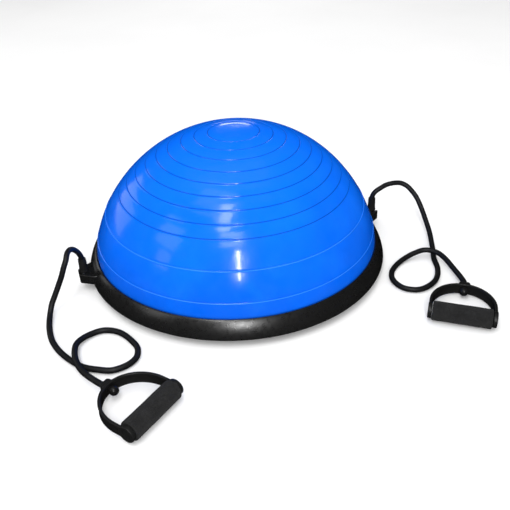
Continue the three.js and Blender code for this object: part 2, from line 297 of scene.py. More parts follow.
def rounded(corners, radius, steps=5):
    """A profile with each of its corners replaced by an arc-like curve of about that radius."""
    points = [corners[0]]
    for before, corner, after in zip(corners, corners[1:], corners[2:]):
        before, corner, after = Vector(before), Vector(corner), Vector(after)
        reach = min(radius, (before - corner).length / 2, (after - corner).length / 2)
        start = corner + (before - corner).normalized() * reach
        end = corner + (after - corner).normalized() * reach
        for i in range(steps + 1):
            t = i / steps
            points.append(tuple(start.lerp(corner, t).lerp(corner.lerp(end, t), t)))
    points.append(corners[-1])
    return points


def fit(piece, material, body, slot, *nodes):
    """Gives the piece its material and the CAD body that it moves with."""
    piece.data.materials.clear()
    piece.data.materials.append(material)
    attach(piece, body)
    if nodes:
        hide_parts(*nodes)
    return piece


# ---- materials ----

class Paint:
    """A Principled material and the nodes that feed it, in object coordinates."""

    def __init__(self, name, color, **settings):
        self.material = bpy.data.materials.new(name)
        self.material.use_nodes = True
        self.tree = self.material.node_tree
        self.shader = self.tree.nodes["Principled BSDF"]
        self.place = self.node("TexCoord").outputs["Object"]
        self.set("Base Color", (*color, 1))
        for socket, value in settings.items():
            self.set(socket.replace("_", " "), value)

    def feed(self, socket, value):
        if isinstance(value, bpy.types.NodeSocket):
            self.tree.links.new(value, socket)
        else:
            socket.default_value = value

    def set(self, socket, value):
        self.feed(self.shader.inputs[socket], value)

    def node(self, kind, inputs=None, **properties):
        made = self.tree.nodes.new("ShaderNode" + kind)
        for key, value in properties.items():
            setattr(made, key, value)
        for key, value in (inputs or {}).items():
            self.feed(made.inputs[key], value)
        return made

    def noise(self, scale, detail=3, roughness=0.5, place=None):
        inputs = {"Vector": place or self.place, "Scale": scale, "Detail": detail, "Roughness": roughness}
        return self.node("TexNoise", inputs).outputs["Fac"]

    def cells(self, scale, feature="F1"):
        inputs = {"Vector": self.place, "Scale": scale}
        return self.node("TexVoronoi", inputs, feature=feature).outputs["Distance"]

    def ranged(self, value, low, high, out_low, out_high):
        """The value's stretch from low to high, moved to the output's range."""
        inputs = {"Value": value, "From Min": low, "From Max": high, "To Min": out_low, "To Max": out_high}
        return self.node("MapRange", inputs).outputs["Result"]

    def blend(self, share, color_a, color_b):
        made = self.node("Mix", data_type="RGBA")
        self.feed(made.inputs["Factor"], share)
        self.feed(made.inputs["A"], (*color_a, 1) if isinstance(color_a, tuple) else color_a)
        self.feed(made.inputs["B"], (*color_b, 1) if isinstance(color_b, tuple) else color_b)
        return next(o for o in made.outputs if o.type == "RGBA")

    def attribute(self, name):
        return self.node("Attribute", attribute_name=name).outputs["Fac"]

    def bump(self, height, strength, distance, normal=None):
        inputs = {"Height": height, "Strength": strength, "Distance": distance}
        if normal:
            inputs["Normal"] = normal
        return self.node("Bump", inputs).outputs["Normal"]


def dome_vinyl():
    """Glossy azure PVC sheet, cloudy at random. Painted light and shade: darker low down and lighter
    towards the crown, darker in the grooves and along the foot, and paler along the welds as a painted
    highlight.
    """
    low, high, pale = (0.0002, 0.106, 0.72), (0.0014, 0.150, 0.90), (0.003, 0.165, 0.92)
    painted_groove_shade, painted_weld_highlight = (0.0006, 0.072, 0.48), (0.05, 0.30, 0.95)
    paint = Paint("dome_vinyl", low, IOR=1.5, Specular_IOR_Level=0.24)
    paint.set("Coat Weight", 0.24)
    paint.set("Coat Roughness", 0.08)
    # Painted light and shade: by height, the blue is a darker shade low down and a lighter one towards the
    # crown, with a little random cloud breaking up the change.
    height = paint.node("SeparateXYZ", {"Vector": paint.place}).outputs["Z"]
    cloud = paint.ranged(paint.noise(9, 4, 0.6), 0.3, 0.7, -0.05, 0.05)
    clouded = paint.node("Math", {0: height, 1: cloud}, operation="ADD").outputs["Value"]
    azure = paint.blend(paint.ranged(clouded, 0.06, 0.22, 0, 1), low, high)
    body = paint.blend(paint.ranged(paint.noise(16, 5, 0.65), 0.5, 0.8, 0, 0.6), azure, pale)
    # Painted shade: the groove value darkens the blue in each pressed groove and along the foot, where the
    # skin meets the ring.
    grooved = paint.blend(paint.attribute("groove"), body, painted_groove_shade)
    # Painted highlight: the two welded seams are painted a paler blue, standing in for the highlight on
    # their ridges.
    paint.set("Base Color", paint.blend(paint.attribute("weld"), grooved, painted_weld_highlight))
    scuffs = paint.noise(38, 6, 0.62)
    paint.set("Roughness", paint.ranged(scuffs, 0.3, 0.75, 0.14, 0.24))
    orange_peel = paint.bump(paint.noise(260, 2), 0.10, 0.0006)
    slack = paint.bump(paint.noise(14, 3), 0.5, 0.0016, orange_peel)
    paint.set("Normal", slack)
    return paint.material


def moulded_plastic(name, color, roughness, grain=900.0, relief=0.0002, gloss=0.3):
    """Black moulded plastic with a fine leathered grain and faintly rubbed patches."""
    paint = Paint(name, color, IOR=1.5, Specular_IOR_Level=gloss)
    rubbed = paint.ranged(paint.noise(22, 5, 0.6), 0.4, 0.75, 0, 0.4)
    lighter = tuple(1.5 * c for c in color)
    paint.set("Base Color", paint.blend(rubbed, color, lighter))
    paint.set("Roughness", paint.ranged(paint.noise(140, 5), 0.3, 0.7, roughness - 0.04, roughness + 0.06))
    pebbles = paint.bump(paint.cells(grain, "SMOOTH_F1"), 0.35, relief)
    paint.set("Normal", paint.bump(paint.noise(45, 2), 0.15, 0.0006, pebbles))
    return paint.material


def band_latex():
    """Satin black latex tube: fine draw lines along it and a pale bloom of dust."""
    black, bloom = (0.006, 0.006, 0.007), (0.018, 0.018, 0.019)
    paint = Paint("band_latex", black, IOR=1.5, Specular_IOR_Level=0.35)
    along = paint.node("UVMap").outputs["UV"]
    stretch = paint.node("Mapping", {"Vector": along, "Scale": (1.0, 60.0, 1.0)}).outputs["Vector"]
    lines = paint.noise(9, 4, 0.6, stretch)
    dust = paint.ranged(paint.noise(70, 6, 0.65), 0.5, 0.8, 0, 0.6)
    paint.set("Base Color", paint.blend(dust, black, bloom))
    paint.set("Roughness", paint.ranged(lines, 0.3, 0.7, 0.40, 0.56))
    fine = paint.bump(lines, 0.25, 0.0003)
    paint.set("Normal", paint.bump(paint.noise(130, 3), 0.2, 0.0004, fine))
    return paint.material


def grip_foam():
    """Matt closed-cell foam with a skin of small open pores."""
    grey, pressed, pore = (0.029, 0.029, 0.0295), (0.018, 0.018, 0.0185), (0.006, 0.006, 0.006)
    paint = Paint("grip_foam", grey, IOR=1.45, Specular_IOR_Level=0.15, Roughness=0.95)
    cells = paint.cells(1100)
    mottled = paint.noise(160, 4)
    handled = paint.blend(paint.ranged(paint.noise(55, 5, 0.65), 0.35, 0.65, 0, 1), grey, pressed)
    paint.set("Base Color", paint.blend(paint.ranged(cells, 0.25, 0.6, 0, 0.8), handled, pore))
    paint.set("Roughness", paint.ranged(mottled, 0.3, 0.7, 0.86, 1.0))
    paint.set("Sheen Weight", 0.03)
    paint.set("Sheen Roughness", 0.6)
    pores = paint.bump(cells, 0.5, 0.0005)
    paint.set("Normal", paint.bump(mottled, 0.4, 0.0006, pores))
    return paint.material


def soft_rubber(name, color):
    """Dull rubber with a dusty, slightly pitted skin."""
    paint = Paint(name, color, IOR=1.5, Specular_IOR_Level=0.25)
    dust = paint.ranged(paint.noise(120, 5, 0.65), 0.5, 0.8, 0, 0.6)
    paint.set("Base Color", paint.blend(dust, color, tuple(2.2 * c for c in color)))
    paint.set("Roughness", paint.ranged(paint.noise(90, 4), 0.3, 0.7, 0.6, 0.8))
    paint.set("Normal", paint.bump(paint.noise(500, 3), 0.3, 0.0003))
    return paint.material


def pale_valve():
    """Off-white soft polythene, waxy and a little grubby."""
    white, grubby = (0.72, 0.72, 0.69), (0.50, 0.49, 0.45)
    paint = Paint("pale_valve", white, IOR=1.5, Specular_IOR_Level=0.4)
    grime = paint.ranged(paint.noise(180, 5), 0.45, 0.8, 0, 0.6)
    paint.set("Base Color", paint.blend(grime, white, grubby))
    paint.set("Roughness", paint.ranged(paint.noise(80, 3), 0.3, 0.7, 0.35, 0.5))
    paint.set("Normal", paint.bump(paint.noise(300, 2), 0.15, 0.0003))
    return paint.material


def zinc_steel():
    """Zinc-plated screw heads, scratched by a screwdriver and dulled in patches."""
    bright, dull = (0.56, 0.56, 0.57), (0.34, 0.34, 0.34)
    paint = Paint("zinc_steel", bright, Metallic=1.0)
    paint.set("Base Color", paint.blend(paint.noise(400, 4), bright, dull))
    paint.set("Roughness", paint.ranged(paint.noise(700, 3), 0.3, 0.7, 0.25, 0.45))
    paint.set("Normal", paint.bump(paint.noise(1500, 2), 0.2, 0.0001))
    return paint.material


DOME_VINYL = dome_vinyl()
INK, SOOT, COAL = (0.007, 0.007, 0.007), (0.009, 0.009, 0.009), (0.012, 0.012, 0.013)
RING_PLASTIC = moulded_plastic("ring_moulding", INK, 0.29, gloss=1.0)
TRAY_PLASTIC = moulded_plastic("tray_moulding", COAL, 0.50, grain=700.0, relief=0.0003)
HANDLE_PLASTIC = moulded_plastic("handle_moulding", SOOT, 0.38, grain=1500.0, relief=0.0001)
STOPPER_PLASTIC = moulded_plastic("stopper_moulding", INK, 0.30, grain=1800.0, relief=0.0001)
BAND_LATEX = band_latex()
GRIP_FOAM = grip_foam()
SLEEVE_RUBBER = soft_rubber("sleeve_rubber", INK)
FOOT_RUBBER = soft_rubber("foot_rubber_skin", (0.018, 0.018, 0.018))
MEMBRANE_SHEET = soft_rubber("membrane_sheet", (0.022, 0.022, 0.024))
PALE_VALVE = pale_valve()
ZINC_STEEL = zinc_steel()


# ---- the tubes ----

def centripetal(points, steps):
    """A smooth curve through the points, with `steps` points to each span."""
    ends = [2 * points[0] - points[1], *points, 2 * points[-1] - points[-2]]
    curve = []
    for a, b, c, d in zip(ends, ends[1:], ends[2:], ends[3:]):
        t0 = 0.0
        t1 = t0 + (b - a).length ** 0.5
        t2 = t1 + (c - b).length ** 0.5
        t3 = t2 + (d - c).length ** 0.5
        for i in range(steps):
            t = t1 + (t2 - t1) * i / steps
            ab = a.lerp(b, (t - t0) / (t1 - t0))
            bc = b.lerp(c, (t - t1) / (t2 - t1))
            cd = c.lerp(d, (t - t2) / (t3 - t2))
            left = ab.lerp(bc, (t - t0) / (t2 - t0))
            right = bc.lerp(cd, (t - t1) / (t3 - t1))
            curve.append(left.lerp(right, (t - t1) / (t2 - t1)))
    return [*curve, points[-1]]


def centreline(band):
    """Straight up out of the stopper, over the floor, and into the handle."""
    apex, heading = band["apex"], band["heading"]
    rising = [Vector((band["lug_x"], 0, z)) for z in (0.0139, 0.040, 0.058, 0.067)]
    route = [Vector(point) for point in band["route"]]
    entering = [apex + heading * distance for distance in (-0.024, -0.012, 0, 0.0113)]
    return centripetal([*rising, *route, *entering], 8)


def swept(name, path, radius, sides=24):
    """A round tube along the path, with UVs: once round across, and metres along."""
    side = (path[1] - path[0]).orthogonal().normalized()
    vertices = []
    for i, point in enumerate(path):
        ahead = (path[min(i + 1, len(path) - 1)] - path[max(i - 1, 0)]).normalized()
        side = (side - ahead * side.dot(ahead)).normalized()
        other = ahead.cross(side)
        for j in range(sides):
            angle = TAU * j / sides
            vertices.append(point + radius * (math.cos(angle) * side + math.sin(angle) * other))
    faces = grid_faces(len(path), sides)
    faces += [tuple(range(sides)), tuple(range(len(vertices) - sides, len(vertices)))]
    piece = new_piece(name, vertices, faces)
    lengths = [0.0]
    for a, b in zip(path, path[1:]):
        lengths.append(lengths[-1] + (b - a).length)
    layer = piece.data.uv_layers.new(name="UVMap")
    for polygon in piece.data.polygons:
        columns = [piece.data.loops[k].vertex_index % sides for k in polygon.loop_indices]
        wraps = max(columns) - min(columns) > 1
        for k, column in zip(polygon.loop_indices, columns):
            row = piece.data.loops[k].vertex_index // sides
            around = column / sides + (1 if wraps and column == 0 else 0)
            layer.data[k].uv = (lengths[row], around)
    return piece


tubes = {}
for band in BANDS:
    path = centreline(band)
    length = sum((b - a).length for a, b in zip(path, path[1:]))
    tube = swept(f"{band['name']}_band_tube", path, TUBE_RADIUS)
    fit(tube, BAND_LATEX, f"{band['name']}_band", "band_rubber", f"{band['name']}_tube")
    tubes[band["name"]] = (tube, path, length)


# ---- the dome ----

# Distances in millimetres along the skin from the crown: nine pressed rings and two welded seams.
GROOVES = [49.2, 75.3, 101.6, *[129.6 + 25.3 * k for k in range(6)]]
WELDS = [310.2, 366.0]
FAR_FROM_ANY_LINE = -100
SKIN_THICKNESS = 3.5 * MM
LEAN = Vector((0.947, -0.323, 0)) * 5.5 * MM


def meridian(inset=0.0, steps=720):
    """The dome's outline from its crown to the ring, as (radius, height, arc from the crown)."""
    points = []
    arc = 0.0
    for i in range(steps + 1):
        angle = math.radians(90 * (1 - i / steps))
        radius = (DOME_RADIUS - inset) * max(math.cos(angle), 0) ** 0.938
        height = SPRING_Z + (DOME_RISE - inset) * math.sin(angle) ** 1.281
        if points:
            arc += math.hypot(radius - points[-1][0], height - points[-1][1])
        points.append((radius, height, arc))
    return points


def relief(arc_mm):
    """How far the skin stands out, in millimetres, at this arc from the crown."""
    out = 0.0
    for groove in GROOVES:
        out -= 0.7 * math.exp(-((arc_mm - groove) / 0.7) ** 2)
        out += 0.3 * math.exp(-((arc_mm - groove - 2.0) / 1.0) ** 2)
    for weld in WELDS:
        out += 0.8 * math.exp(-((arc_mm - weld) / 0.8) ** 2)
        out -= 0.5 * math.exp(-((arc_mm - weld + 1.8) / 0.9) ** 2)
    for start, end in zip([24.0, *GROOVES], [*GROOVES, WELDS[0]]):
        if start <= arc_mm < end:
            out += 0.4 * math.sin(math.pi * (arc_mm - start) / (end - start))
    return out


def nearness(arc_mm, lines, width):
    """1 on any of these lines, fading to nothing within about three widths."""
    return sum(math.exp(-((arc_mm - line) / width) ** 2) for line in lines)


def skin_stations(total):
    """Arcs from the crown in millimetres, close together at each groove and weld."""
    stations = []
    arc = 0.0
    while arc < total:
        near = min(abs(arc - line) for line in [*GROOVES, *WELDS])
        stations.append(arc)
        arc += 0.32 if near < 3.6 else min(3.2, max(0.4, near - 3.4))
    return [*stations, total]


def skin_outside(outline, stations):
    """The outline with its relief, as one (radius, height) point at each station."""
    points = []
    k = 0
    for arc in stations:
        while k < len(outline) - 2 and outline[k + 1][2] / MM < arc:
            k += 1
        (r0, z0, a0), (r1, z1, a1) = outline[k], outline[k + 1]
        share = (arc * MM - a0) / (a1 - a0)
        along = Vector((r1 - r0, z1 - z0)).normalized()
        out = Vector((-along.y, along.x)) * relief(arc) * MM
        point = (max(r0 + (r1 - r0) * share + out.x, 0), z0 + (z1 - z0) * share + out.y)
        points.append(point if arc else (0, point[1]))
    return points


def bead_profile():
    """The thick bead at the dome's foot that the ring clamps, from outside to inside."""
    outside = [(DOME_RADIUS, BEAD_TOP_Z), (BEAD_RADIUS, BEAD_TOP_Z), (BEAD_RADIUS, BEAD_Z)]
    inside = [(BEAD_INNER_RADIUS, BEAD_Z), (BEAD_INNER_RADIUS, BEAD_TOP_Z)]
    return [*outside, *inside, (DOME_RADIUS - SKIN_THICKNESS, BEAD_TOP_Z)]


def mark_lines(skin, outside, stations):
    """Writes how near each point is to a groove, the foot or a weld, for the material to read: painted
    shade in the grooves and at the foot, a painted highlight on the welds.
    """
    arc_at = {(round(r, 5), round(z, 5)): arc for (r, z), arc in zip(outside, stations)}
    groove = skin.data.attributes.new("groove", "FLOAT", "POINT").data
    weld = skin.data.attributes.new("weld", "FLOAT", "POINT").data
    foot = stations[-1]
    for vertex in skin.data.vertices:
        arc = arc_at.get((round(vertex.co.xy.length, 5), round(vertex.co.z, 5)), FAR_FROM_ANY_LINE)
        # Painted shade: the groove value also covers the foot, where the skin meets the ring.
        groove[vertex.index].value = nearness(arc, GROOVES, 0.9) + nearness(arc, [foot], 2.5)
        # Painted highlight: the weld value makes the seams paler.
        weld[vertex.index].value = 0.6 * nearness(arc, WELDS, 0.7)


def dome_skin():
    """The inflated skin: ringed outside, bead, and a smooth inside, leaning a little at the crown."""
    outline = meridian()
    stations = skin_stations(outline[-1][2] / MM)
    outside = skin_outside(outline, stations)
    inside = [(r, z) for r, z, _ in meridian(SKIN_THICKNESS, 40)]
    skin = lathe("dome_skin", [*outside, *bead_profile(), *reversed(inside)], 256, sharp=50)
    mark_lines(skin, outside, stations)
    for vertex in skin.data.vertices:
        rise = max(0, vertex.co.z - SPRING_Z) / DOME_RISE
        vertex.co += LEAN * rise ** 2
    return skin


skin = fit(dome_skin(), DOME_VINYL, "base", "dome_pvc", "dome_bladder")
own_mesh(skin)


# ---- the clamp ring and its lugs ----

CLEARANCE = 0.3 * MM


def ring_outside():
    """The ring's outside: a bulging cone from the dome to its widest line, and a rolled hem."""
    widest_z, lip_radius = 16.5 * MM, DOME_RADIUS + 2 * MM
    bulge = []
    for i in range(33):
        angle = math.radians(90 * (1 - i / 32))
        radius = lip_radius + (BASE_RADIUS - lip_radius) * max(math.cos(angle), 0) ** 1.44
        bulge.append((radius, widest_z + (LIP_Z - widest_z) * math.sin(angle) ** 1.48))
    hem = [(0.2, 1.6), (0.7, 0.8), (1.3, 0.2), (2.0, 0)]
    return [*bulge, *[(BASE_RADIUS - inward * MM, RING_FOOT_Z + up * MM) for inward, up in hem]]


def clamp_ring():
    """The ring: a lip against the dome, the outside, and a stepped inside over tray and bead."""
    skirt, mouth, pocket = (radius + CLEARANCE for radius in (FLANGE_RADIUS, DOME_RADIUS, BEAD_RADIUS))
    skirt_top, pocket_top = CLAMP_Z + CLEARANCE, BEAD_TOP_Z + CLEARANCE
    edge = [(0, 10.5), (0, 2.2), (0.3, 0.8), (0.9, 0.2)]
    lip = [(mouth + outward * MM, LIP_Z - down * MM) for outward, down in edge]
    inside = [(skirt, RING_FOOT_Z), (skirt, skirt_top), (pocket, skirt_top)]
    inside += [(pocket, pocket_top), (mouth, pocket_top)]
    return lathe("clamp_ring", [*lip, *ring_outside(), *inside], 192, loop=True)


def arc_points(cx, cy, radius, start, end, steps=8):
    """Points along a round arc about (cx, cy), its angles in degrees."""
    points = []
    for i in range(steps + 1):
        x, y = polar(radius, start + (end - start) * i / steps)
        points.append((cx + x, cy + y))
    return points


def lug_outline():
    """A tab that spreads into the ring, with a slot open to the outside for the band."""
    corner, slot = 5 * MM, 6.2 * MM
    root, spread, half_root = 284 * MM, 296 * MM, 28 * MM
    lower = [(root, -half_root), (spread, -half_root)]
    lower += arc_points(LUG_REACH - corner, -8 * MM, corner, -55, 0)
    notch = arc_points(HOOK_RADIUS, 0, slot, -90, -270, 14)
    upper = [(x, -y) for x, y in reversed(lower)]
    return [*lower, (LUG_REACH, -slot), *notch, (LUG_REACH, slot), *upper]


def lug():
    """One lug: its tab, a channel below for the band's ball, and two horns that hold the sleeve."""
    tab = round_edges(prism("tab", lug_outline(), LUG_BOTTOM_Z, LUG_TOP_Z), 1.2 * MM)
    half, channel_top = 8.6 * MM, 25 * MM
    mouth = [(LUG_REACH + half, -half), (LUG_REACH + half, half)]
    channel = [*arc_points(HOOK_RADIUS, 0, half, 90, 270, 20), *mouth]
    cut(tab, [prism("channel", channel, LUG_BOTTOM_Z - 1 * MM, channel_top)])
    horns = []
    for side in (-1, 1):
        nub = rounded([(0, -1 * MM), (2.6 * MM, -1 * MM), (2.2 * MM, 3 * MM), (0, 3 * MM)], 1.2 * MM)
        horns.append(shifted(lathe("horn", nub, 24), HOOK_RADIUS + 2 * MM, side * 12 * MM, LUG_TOP_Z))
    whole = joined("lug", [tab, *horns])
    whole.data.shade_smooth()
    whole.data.set_sharp_from_angle(angle=math.radians(35))
    return whole


fit(clamp_ring(), RING_PLASTIC, "base", "ring_plastic", "rim_ring")
for band in BANDS:
    tab = lug()
    tab.name = f"{band['name']}_lug"
    if band["lug_x"] < 0:
        moved(tab, Matrix.Rotation(math.pi, 4, "Z"))
    fit(tab, RING_PLASTIC, "base", "ring_plastic")


# ---- the bands' hooks and stoppers ----

def stopper(radius, top_z):
    """A ball with a socket on top for the tube's end, and a fine parting line."""
    socket = TUBE_RADIUS + 0.3 * MM
    centre_z = top_z - radius + 0.8 * MM
    mouth = math.asin(socket / radius)
    points = []
    for i in range(31):
        angle = i / 30 * (math.pi - mouth - 0.12)
        seam = 0.18 * MM * math.exp(-((angle - math.pi / 2) / 0.05) ** 2)
        points.append(((radius + seam) * math.sin(angle), centre_z - (radius + seam) * math.cos(angle)))
    points[0] = (0, points[0][1])
    chamfer, depth = 0.4 * MM, 11.4 * MM
    points += [(socket + chamfer, top_z), (socket, top_z - chamfer)]
    points += [(socket, top_z - depth), (0, top_z - depth)]
    return points


def sleeve_profile():
    """The tapered rubber sleeve over the tube, with a rolled foot and three ridges."""
    low, high = (p.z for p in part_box("left_hook_sleeve"))
    bore = TUBE_RADIUS + 0.45 * MM
    outside = []
    for i in range(61):
        t = i / 60
        z = low + (high - low) * t
        radius = 8.9 * MM - 1.5 * MM * min(t / 0.75, 1) ** 0.8
        foot = 0.35 * MM * math.exp(-((t - 0.06) / 0.05) ** 2)
        ridges = sum(0.4 * MM * math.exp(-((t - at) / 0.022) ** 2) for at in (0.62, 0.72, 0.82))
        end = 0.5 * MM * (max(0, t - 0.97) / 0.03) ** 2 + 0.5 * MM * (max(0, 0.03 - t) / 0.03) ** 2
        outside.append((radius + foot + ridges - end, z))
    return [(bore, low), *outside, (bore + 0.3 * MM, high), (bore, high - 0.4 * MM)]


for band in BANDS:
    side = band["name"]
    top_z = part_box(f"{side}_hook_stopper")[1].z
    ball = shifted(lathe(f"{side}_hook_ball", stopper(HOOK_BALL_RADIUS, top_z)), band["lug_x"])
    fit(ball, STOPPER_PLASTIC, f"{side}_hook", "stopper_plastic", f"{side}_hook_stopper")
    sleeve = shifted(lathe(f"{side}_sleeve", sleeve_profile(), loop=True), band["lug_x"])
    fit(sleeve, SLEEVE_RUBBER, f"{side}_band", "band_rubber", f"{side}_hook_sleeve")
    band["sleeve"] = sleeve


# ---- the handles ----
# A handle's own frame has X along the grip, Y from the apex of the strap to the grip and Z up,
# with the origin on the strap's inner face at the apex.

ALONG_X = Matrix.Rotation(math.radians(90), 4, "Y")
ALONG_Y = Matrix.Rotation(math.radians(-90), 4, "X")
PADDLE_INNER, PADDLE_OUTER, PADDLE_RADIUS = 51.7 * MM, 59.2 * MM, 14.5 * MM
SHOULDER_Y = 62 * MM


def strap_path(t):
    """The strap's middle line: an arm, round the half ellipse, and the other arm, for t from 0 to 1."""
    half, depth = PADDLE_OUTER - STRAP_THICKNESS / 2, SHOULDER_Y + STRAP_THICKNESS / 2
    arm = 0.105
    if t < arm:
        return Vector((half, HANDLE_DEPTH - (HANDLE_DEPTH - SHOULDER_Y) * t / arm, 0))
    if t > 1 - arm:
        return Vector((-half, HANDLE_DEPTH - (HANDLE_DEPTH - SHOULDER_Y) * (1 - t) / arm, 0))
    angle = math.pi * (t - arm) / (1 - 2 * arm)
    return Vector((half * math.cos(angle), SHOULDER_Y - depth * math.sin(angle), 0))


def strap_section(angle):
    """A rounded flat bar whose broad faces are hollowed between two rims, as (across, up)."""
    c, s = math.cos(angle), math.sin(angle)
    up = math.copysign(abs(s) ** 0.4, s) * STRAP_HALF_WIDTH
    across = abs(c) ** 0.4 * STRAP_THICKNESS / 2
    hollow = 0.9 * MM * max(0, 1 - (up / (STRAP_HALF_WIDTH - 2.4 * MM)) ** 6)
    return math.copysign(max(across - hollow, 0), c), up


def strap_band(steps=140, sides=56):
    """The strap's section carried along its path."""
    vertices = []
    path = sampled(strap_path, steps)
    for i, point in enumerate(path):
        ahead = (path[min(i + 1, steps)] - path[max(i - 1, 0)]).normalized()
        out = UP.cross(ahead)
        for j in range(sides):
            across, up = strap_section(TAU * j / sides)
            vertices.append(point + out * across + UP * up)
    faces = grid_faces(len(path), sides)
    faces += [tuple(range(sides)), tuple(range(len(vertices) - sides, len(vertices)))]
    return new_piece("strap", vertices, faces)


def paddle():
    """The round end that holds the grip: a shallow dish in its outer face."""
    inner, outer, r = PADDLE_INNER, PADDLE_OUTER, PADDLE_RADIUS
    edge, dish = 1.4 * MM, 0.8 * MM
    corners = [(0, inner), (r, inner), (r, outer)]
    corners += [(r - 4 * MM, outer), (r - 5 * MM, outer - dish), (0, outer - dish)]
    return moved(lathe("paddle", rounded(corners, edge), 64), ALONG_X)


def boss():
    """The block on the strap's outer face that the tube runs into."""
    front, shoulder, back = -5 * MM, -9 * MM, -14 * MM
    half_width, back_half, half_height = 10.5 * MM, 8 * MM, 9.5 * MM
    side = [(half_width, front), (half_width, shoulder), (back_half, back)]
    outline = [*side, *[(-x, y) for x, y in reversed(side)]]
    return round_edges(prism("boss", outline, -half_height, half_height), 1.6 * MM, 25)


def yoke_mesh():
    """Strap, boss and both paddles moulded into one skin, bored for the tube."""
    ends = [paddle(), moved(paddle(), Matrix.Rotation(math.pi, 4, "Z"))]
    ends = [shifted(end, y=HANDLE_DEPTH) for end in ends]
    yoke = joined("yoke", [strap_band(), boss(), *ends])
    skin = yoke.modifiers.new("skin", "REMESH")
    skin.mode = "VOXEL"
    skin.voxel_size = 0.7 * MM
    skin.use_smooth_shade = True
    ease = yoke.modifiers.new("ease", "SMOOTH")
    ease.iterations = 4
    settle(yoke)
    bore = moved(drum(TUBE_RADIUS + 0.6 * MM, -0.02, 0.002, 32), ALONG_Y)
    cut(yoke, [bore])
    yoke.data.shade_smooth()
    yoke.data.set_sharp_from_angle(angle=math.radians(50))
    mesh = yoke.data
    bpy.data.objects.remove(yoke)
    return mesh


def foam_mesh():
    """The foam sleeve: soft round ends, slightly uneven, and flattened where it lies."""
    half, r, bore, edge = FOAM_HALF_LENGTH, FOAM_RADIUS, 11.3 * MM, 2.6 * MM
    outer = rounded([(bore, -half), (r, -half), (r, half), (bore, half)], edge, 8)
    profile = []
    for a, b in zip(outer, outer[1:]):
        cuts = max(1, int(math.dist(a, b) / (1.2 * MM)))
        profile += [(a[0] + (b[0] - a[0]) * i / cuts, a[1] + (b[1] - a[1]) * i / cuts) for i in range(cuts)]
    profile.append(outer[-1])
    foam = moved(lathe("foam", profile, 96, loop=True), ALONG_X)
    for vertex in foam.data.vertices:
        away = Vector((0, vertex.co.y, vertex.co.z))
        if away.length > r - 3 * MM:
            lump = noise.noise(vertex.co * 55) * 0.22 + noise.noise(vertex.co * 190) * 0.10
            vertex.co += away.normalized() * (lump - 0.2) * MM
        vertex.co.z = max(vertex.co.z, 0.3 * MM - r)
    mesh = foam.data
    bpy.data.objects.remove(foam)
    return mesh


def core_mesh():
    """The plastic tube inside the foam, a little longer than the foam."""
    half, inner, outer = FOAM_HALF_LENGTH + 0.3 * MM, 7.5 * MM, 11 * MM
    profile = rounded([(inner, -half), (outer, -half), (outer, half), (inner, half)], 0.5 * MM, 3)
    core = moved(lathe("core", profile, 48, loop=True), ALONG_X)
    mesh = core.data
    bpy.data.objects.remove(core)
    return mesh


def place_shared(name, mesh, matrix):
    """A piece that shares its mesh with others of its kind."""
    piece = bpy.data.objects.new(name, mesh)
    bpy.context.scene.collection.objects.link(piece)
    piece.matrix_world = matrix
    return piece


YOKE, FOAM, CORE = yoke_mesh(), foam_mesh(), core_mesh()

for band in BANDS:
    side = band["name"]
    ahead = band["heading"]
    across = ahead.cross(UP).normalized()
    turn = Matrix((across, ahead, across.cross(ahead))).transposed().to_4x4()
    apex = Matrix.Translation(band["apex"]) @ turn
    grip = apex @ Matrix.Translation((0, HANDLE_DEPTH, 0))
    yoke = place_shared(f"{side}_yoke", YOKE, apex)
    fit(yoke, HANDLE_PLASTIC, f"{side}_handle", "handle_plastic", f"{side}_handle_yoke")
    foam = place_shared(f"{side}_foam_sleeve", FOAM, grip)
    fit(foam, GRIP_FOAM, f"{side}_grip", "grip_foam", f"{side}_foam_grip")
    core = place_shared(f"{side}_core", CORE, grip)
    fit(core, HANDLE_PLASTIC, f"{side}_grip", "handle_plastic", f"{side}_grip_core")
    knob = lathe(f"{side}_handle_ball", [(r, -z) for r, z in stopper(HANDLE_BALL_RADIUS, 0)])
    moved(knob, apex @ ALONG_Y @ Matrix.Translation((0, 0, 0.4 * MM)))
    fit(knob, STOPPER_PLASTIC, f"{side}_band", "stopper_plastic", f"{side}_handle_stopper")
    tube, path, length = tubes[side]


# ---- under the platform ----

SCREW_CIRCLE, FOOT_CIRCLE, VALVE_Y = 0.2876, 0.262, 0.140


def platform():
    """The platform: rings moulded into its underside, pockets for feet and valve, and holes for screws."""
    wall, shelf, plate_top, step_z = 280 * MM, 276 * MM, 7 * MM, 17 * MM
    under = [(0, PLATE_Z)]
    for ring in (0.040, 0.060, 0.092, 0.112, 0.170, 0.190, 0.210, 0.230):
        under += [(ring - 2 * MM, PLATE_Z), (ring - 1.2 * MM, PLATE_Z + 1 * MM)]
        under += [(ring + 1.2 * MM, PLATE_Z + 1 * MM), (ring + 2 * MM, PLATE_Z)]
    rim = [(wall - 1.8 * MM, PLATE_Z), (wall - 0.6 * MM, PLATE_Z + 0.6 * MM), (wall, PLATE_Z + 1.8 * MM)]
    rim += [(wall, step_z), (FLANGE_RADIUS, step_z), (FLANGE_RADIUS, CLAMP_Z)]
    rim += [(shelf, CLAMP_Z), (shelf, plate_top), (0, plate_top)]
    plate = lathe("platform_plate", [*under, *rim], 192)
    tools = [shifted(drum(22 * MM, -0.01, 0.02, 64), y=VALVE_Y)]
    for i in range(8):
        tools.append(shifted(drum(13.3 * MM, -0.01, 0.005), *polar(FOOT_CIRCLE, 45 * i)))
        tools.append(shifted(drum(2.3 * MM, 0.01, 0.03, 24), *polar(SCREW_CIRCLE, 22.5 + 45 * i)))
    cut(plate, tools)
    plate.data.shade_smooth()
    plate.data.set_sharp_from_angle(angle=math.radians(30))
    return plate


